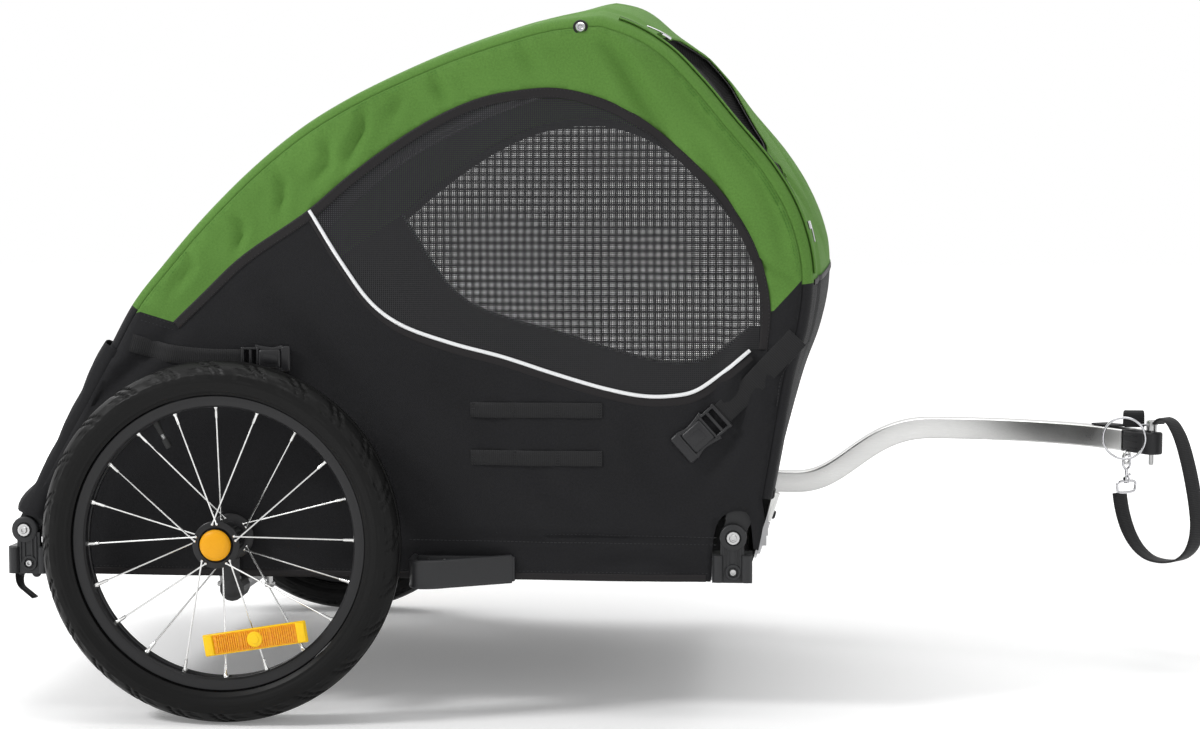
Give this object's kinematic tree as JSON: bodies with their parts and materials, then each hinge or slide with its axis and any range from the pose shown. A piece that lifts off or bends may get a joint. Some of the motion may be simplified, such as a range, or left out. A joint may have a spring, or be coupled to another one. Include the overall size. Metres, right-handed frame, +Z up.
{
  "type": "pet and cargo bicycle trailer",
  "caption": "Folding two-wheel bicycle trailer with a green and black fabric cabin, mesh windows, spoked wheels, curved side tow bar and safety strap.",
  "frame": {"origin": "on the ground under the middle of the trailer's length, tow bar and coupler included and safety strap left out, half way between the wheels", "axes": "+X forward towards the hitch, +Y to the trailer's left, +Z up"},
  "size_m": [1.3958, 0.74, 0.8037],
  "materials": {
    "frame_tube": "satin anodised tube",
    "tow_bar": "brushed square tube",
    "fasteners": "zinc plated",
    "hitch_steel": "polished, nickel plated",
    "corner_plastic": "glass-filled nylon, fine grain",
    "buckle": "moulded acetal",
    "tyre": "matt black rubber",
    "inner_tube": "butyl",
    "rim": "satin black",
    "spokes": "bright stainless",
    "hub": "satin black",
    "button": "amber yellow, smooth",
    "reflector": "amber prismatic",
    "coupler": "matt elastomer",
    "webbing": "black woven webbing",
    "green_cloth": "leaf green coated polyester",
    "front_cloth": "leaf green over black coated polyester",
    "side_cloth": "black coated polyester with mesh window and green edge",
    "black_cloth": "black coated polyester",
    "floor_cloth": "black padded cloth"
  },
  "bodies": {
    "root": {"side_rail_right": "frame_tube", "side_rail_left": "frame_tube", "front_crossbar": "frame_tube", "rear_crossbar": "frame_tube", "axle_crossbar": "frame_tube", "corner_bracket_front_right": "corner_plastic", "corner_bracket_front_left": "corner_plastic", "corner_bracket_rear_right": "corner_plastic", "corner_bracket_rear_left": "corner_plastic", "pivot_bolt_front_right": "fasteners", "pivot_bolt_front_left": "fasteners", "pivot_bolt_rear_right": "fasteners", "pivot_bolt_rear_left": "fasteners", "axle_receiver_right": "corner_plastic", "axle_receiver_left": "corner_plastic", "wheel_guard_right": "corner_plastic", "wheel_guard_left": "corner_plastic", "floor_panel": "floor_cloth", "tow_bracket": "tow_bar", "tow_hinge_pin": "fasteners", "cover_top": "green_cloth", "cover_front": "front_cloth", "cover_side_right": "side_cloth", "cover_side_left": "side_cloth", "buckle_rear_right": "buckle", "buckle_rear_left": "buckle"},
    "rear_hoop": {"rear_hoop": "frame_tube", "hoop_knuckle_rear_right": "corner_plastic", "hoop_knuckle_rear_left": "corner_plastic"},
    "front_hoop": {"front_hoop": "frame_tube", "hoop_knuckle_front_right": "corner_plastic", "hoop_knuckle_front_left": "corner_plastic"},
    "tailgate": {"tailgate": "black_cloth"},
    "axle_right": {"axle_right": "fasteners"},
    "wheel_right": {"tyre_right": "tyre", "inner_tube_right": "inner_tube", "rim_right": "rim", "spoke_set_right": "spokes", "hub_shell_right": "hub", "bearing_inner_right": "fasteners", "bearing_outer_right": "fasteners", "reflector_right": "reflector"},
    "button_right": {"release_button_right": "button"},
    "axle_left": {"axle_left": "fasteners"},
    "wheel_left": {"tyre_left": "tyre", "inner_tube_left": "inner_tube", "rim_left": "rim", "spoke_set_left": "spokes", "hub_shell_left": "hub", "bearing_inner_left": "fasteners", "bearing_outer_left": "fasteners", "reflector_left": "reflector"},
    "button_left": {"release_button_left": "button"},
    "tow_bar": {"tow_bar": "tow_bar", "flex_coupler": "coupler", "safety_strap": "webbing", "snap_hook": "hitch_steel"},
    "tow_lock": {"tow_lock_knob": "corner_plastic"},
    "hitch_pin": {"hitch_pin": "hitch_steel"},
    "pin_bail": {"pin_bail": "hitch_steel"}
  },
  "joints": [
    {"name": "rear_hoop_fold", "type": "hinge", "parent": "root", "child": "rear_hoop", "pos_m": [-0.6567, 0, 0.203], "axis": [0, 1, 0], "range_deg": [0, 33.5], "deforming": ["cover_top", "cover_front", "cover_side_right", "cover_side_left", "buckle_rear_right", "buckle_rear_left"]},
    {"name": "front_hoop_fold", "type": "hinge", "parent": "root", "child": "front_hoop", "pos_m": [0.1413, 0, 0.203], "axis": [0, -1, 0], "range_deg": [0, 71], "deforming": ["cover_top", "cover_front", "cover_side_right", "cover_side_left", "buckle_rear_right", "buckle_rear_left"]},
    {"name": "tailgate_open", "type": "hinge", "parent": "root", "child": "tailgate", "pos_m": [-0.6702, 0, 0.1815], "axis": [0, -1, 0], "range_deg": [0, 110]},
    {"name": "axle_pull_right", "type": "slide", "parent": "root", "child": "axle_right", "axis": [0, -1, 0], "range_m": [0, 0.06]},
    {"name": "wheel_spin_right", "type": "hinge", "parent": "axle_right", "child": "wheel_right", "pos_m": [-0.4177, -0.34, 0.1995], "axis": [0, 1, 0], "continuous": true},
    {"name": "release_button_press_right", "type": "slide", "parent": "axle_right", "child": "button_right", "axis": [0, 1, 0], "range_m": [0, 0.003], "stiffness_N_per_m": 800, "springref_m": -0.002},
    {"name": "axle_pull_left", "type": "slide", "parent": "root", "child": "axle_left", "axis": [0, 1, 0], "range_m": [0, 0.06]},
    {"name": "wheel_spin_left", "type": "hinge", "parent": "axle_left", "child": "wheel_left", "pos_m": [-0.4177, 0.34, 0.1995], "axis": [0, 1, 0], "continuous": true},
    {"name": "release_button_press_left", "type": "slide", "parent": "axle_left", "child": "button_left", "axis": [0, -1, 0], "range_m": [0, 0.003], "stiffness_N_per_m": 800, "springref_m": -0.002},
    {"name": "tow_bar_swing", "type": "hinge", "parent": "root", "child": "tow_bar", "pos_m": [0.1763, 0.266, 0.144], "axis": [-0.309, 0, -0.9511], "range_deg": [0, 60]},
    {"name": "tow_lock_pull", "type": "slide", "parent": "tow_bar", "child": "tow_lock", "axis": [0.9511, 0, -0.309], "range_m": [0, 0.006], "stiffness_N_per_m": 800, "springref_m": -0.002},
    {"name": "hitch_pin_pull", "type": "slide", "parent": "tow_bar", "child": "hitch_pin", "axis": [0, 0, 1], "range_m": [0, 0.05]},
    {"name": "pin_bail_swing", "type": "hinge", "parent": "hitch_pin", "child": "pin_bail", "pos_m": [0.66218, 0.08461, 0.296], "axis": [0.8829, 0.4695, 0], "range_deg": [0, 110]}
  ],
  "couplings": [
    {"joint": "front_hoop_fold", "follows": "rear_hoop_fold", "ratio": 2.1}
  ]
}
